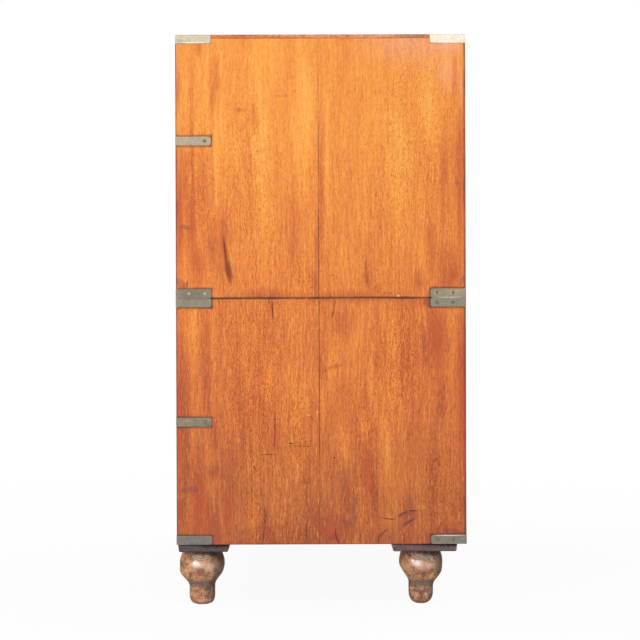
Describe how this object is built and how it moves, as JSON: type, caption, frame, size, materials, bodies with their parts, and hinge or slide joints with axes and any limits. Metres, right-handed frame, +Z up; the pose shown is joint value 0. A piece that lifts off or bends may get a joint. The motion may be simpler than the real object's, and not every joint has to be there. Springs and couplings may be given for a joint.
{
  "type": "campaign chest of drawers",
  "caption": "Travelling chest of drawers in two stacked cases on turned feet, with flush bail handles and brass-bound corners.",
  "frame": {"origin": "on the floor, under the middle of the chest", "axes": "+Z up, drawers open towards -Y, +X towards the chest's right-hand end as seen in plan, which is to the right of someone facing the front"},
  "size_m": [0.9658, 0.5088, 1.0033],
  "materials": {
    "case_wood": "waxed and worn",
    "drawer_wood": "waxed front, plain inside",
    "batten_wood": "dark stained",
    "foot_wood": "turned and polished",
    "brass": "dull patina"
  },
  "bodies": {
    "lower_case": {"lower_side_left": "case_wood", "lower_side_right": "case_wood", "lower_top": "case_wood", "lower_bottom": "case_wood", "lower_divider": "case_wood", "lower_back": "case_wood", "batten_front": "batten_wood", "batten_rear": "batten_wood", "corner_lower_top_front_left": "brass", "corner_lower_top_front_right": "brass", "corner_lower_top_rear_left": "brass", "corner_lower_top_rear_right": "brass", "strap_lower_front_left": "brass", "strap_lower_front_right": "brass", "corner_lower_base_front_left": "brass", "corner_lower_base_front_right": "brass", "corner_lower_base_rear_left": "brass", "corner_lower_base_rear_right": "brass"},
    "upper_case": {"upper_side_left": "case_wood", "upper_side_right": "case_wood", "upper_top": "case_wood", "upper_bottom": "case_wood", "upper_divider": "case_wood", "upper_upright": "case_wood", "upper_back": "case_wood", "corner_top_front_left": "brass", "corner_top_front_right": "brass", "corner_top_rear_left": "brass", "corner_top_rear_right": "brass", "strap_upper_front_left": "brass", "strap_upper_front_right": "brass", "corner_upper_base_front_left": "brass", "corner_upper_base_front_right": "brass", "corner_upper_base_rear_left": "brass", "corner_upper_base_rear_right": "brass"},
    "foot_front_left": {"foot_front_left": "foot_wood"},
    "foot_front_right": {"foot_front_right": "foot_wood"},
    "foot_rear_left": {"foot_rear_left": "foot_wood"},
    "foot_rear_right": {"foot_rear_right": "foot_wood"},
    "short_drawer_left": {"short_drawer_left": "drawer_wood", "plate_short_drawer_left": "brass"},
    "short_drawer_right": {"short_drawer_right": "drawer_wood", "plate_short_drawer_right": "brass"},
    "long_drawer_upper": {"long_drawer_upper": "drawer_wood", "plate_long_drawer_upper_left": "brass", "plate_long_drawer_upper_right": "brass"},
    "long_drawer_middle": {"long_drawer_middle": "drawer_wood", "plate_long_drawer_middle_left": "brass", "plate_long_drawer_middle_right": "brass"},
    "long_drawer_bottom": {"long_drawer_bottom": "drawer_wood", "plate_long_drawer_bottom_left": "brass", "plate_long_drawer_bottom_right": "brass"},
    "bail_short_drawer_left": {"bail_short_drawer_left": "brass"},
    "bail_short_drawer_right": {"bail_short_drawer_right": "brass"},
    "bail_long_drawer_upper_left": {"bail_long_drawer_upper_left": "brass"},
    "bail_long_drawer_upper_right": {"bail_long_drawer_upper_right": "brass"},
    "bail_long_drawer_middle_left": {"bail_long_drawer_middle_left": "brass"},
    "bail_long_drawer_middle_right": {"bail_long_drawer_middle_right": "brass"},
    "bail_long_drawer_bottom_left": {"bail_long_drawer_bottom_left": "brass"},
    "bail_long_drawer_bottom_right": {"bail_long_drawer_bottom_right": "brass"}
  },
  "joints": [
    {"name": "upper_case_lift", "type": "slide", "parent": "lower_case", "child": "upper_case", "axis": [0, 0, 1], "range_m": [0, 0.12]},
    {"name": "short_drawer_left_slide", "type": "slide", "parent": "upper_case", "child": "short_drawer_left", "axis": [0, -1, 0], "range_m": [0, 0.4]},
    {"name": "short_drawer_right_slide", "type": "slide", "parent": "upper_case", "child": "short_drawer_right", "axis": [0, -1, 0], "range_m": [0, 0.4]},
    {"name": "long_drawer_upper_slide", "type": "slide", "parent": "upper_case", "child": "long_drawer_upper", "axis": [0, -1, 0], "range_m": [0, 0.4]},
    {"name": "long_drawer_middle_slide", "type": "slide", "parent": "lower_case", "child": "long_drawer_middle", "axis": [0, -1, 0], "range_m": [0, 0.4]},
    {"name": "long_drawer_bottom_slide", "type": "slide", "parent": "lower_case", "child": "long_drawer_bottom", "axis": [0, -1, 0], "range_m": [0, 0.4]},
    {"name": "bail_short_drawer_left_swing", "type": "hinge", "parent": "short_drawer_left", "child": "bail_short_drawer_left", "pos_m": [-0.23575, -0.2512, 0.91755], "axis": [-1, 0, 0], "range_deg": [0, 95]},
    {"name": "bail_short_drawer_right_swing", "type": "hinge", "parent": "short_drawer_right", "child": "bail_short_drawer_right", "pos_m": [0.23575, -0.2512, 0.91755], "axis": [-1, 0, 0], "range_deg": [0, 95]},
    {"name": "bail_long_drawer_upper_left_swing", "type": "hinge", "parent": "long_drawer_upper", "child": "bail_long_drawer_upper_left", "pos_m": [-0.23125, -0.2512, 0.69605], "axis": [-1, 0, 0], "range_deg": [0, 95]},
    {"name": "bail_long_drawer_upper_right_swing", "type": "hinge", "parent": "long_drawer_upper", "child": "bail_long_drawer_upper_right", "pos_m": [0.23125, -0.2512, 0.69605], "axis": [-1, 0, 0], "range_deg": [0, 95]},
    {"name": "bail_long_drawer_middle_left_swing", "type": "hinge", "parent": "long_drawer_middle", "child": "bail_long_drawer_middle_left", "pos_m": [-0.23125, -0.2512, 0.44174], "axis": [-1, 0, 0], "range_deg": [0, 95]},
    {"name": "bail_long_drawer_middle_right_swing", "type": "hinge", "parent": "long_drawer_middle", "child": "bail_long_drawer_middle_right", "pos_m": [0.23125, -0.2512, 0.44174], "axis": [-1, 0, 0], "range_deg": [0, 95]},
    {"name": "bail_long_drawer_bottom_left_swing", "type": "hinge", "parent": "long_drawer_bottom", "child": "bail_long_drawer_bottom_left", "pos_m": [-0.23125, -0.2512, 0.23375], "axis": [-1, 0, 0], "range_deg": [0, 95]},
    {"name": "bail_long_drawer_bottom_right_swing", "type": "hinge", "parent": "long_drawer_bottom", "child": "bail_long_drawer_bottom_right", "pos_m": [0.23125, -0.2512, 0.23375], "axis": [-1, 0, 0], "range_deg": [0, 95]},
    {"name": "foot_front_left_screw", "type": "hinge", "parent": "lower_case", "child": "foot_front_left", "pos_m": [-0.4375, -0.212, 0.1], "axis": [0, 0, -1], "range_deg": [0, 1440]},
    {"name": "foot_front_right_screw", "type": "hinge", "parent": "lower_case", "child": "foot_front_right", "pos_m": [0.4375, -0.212, 0.1], "axis": [0, 0, -1], "range_deg": [0, 1440]},
    {"name": "foot_rear_left_screw", "type": "hinge", "parent": "lower_case", "child": "foot_rear_left", "pos_m": [-0.4375, 0.176, 0.1], "axis": [0, 0, -1], "range_deg": [0, 1440]},
    {"name": "foot_rear_right_screw", "type": "hinge", "parent": "lower_case", "child": "foot_rear_right", "pos_m": [0.4375, 0.176, 0.1], "axis": [0, 0, -1], "range_deg": [0, 1440]}
  ]
}
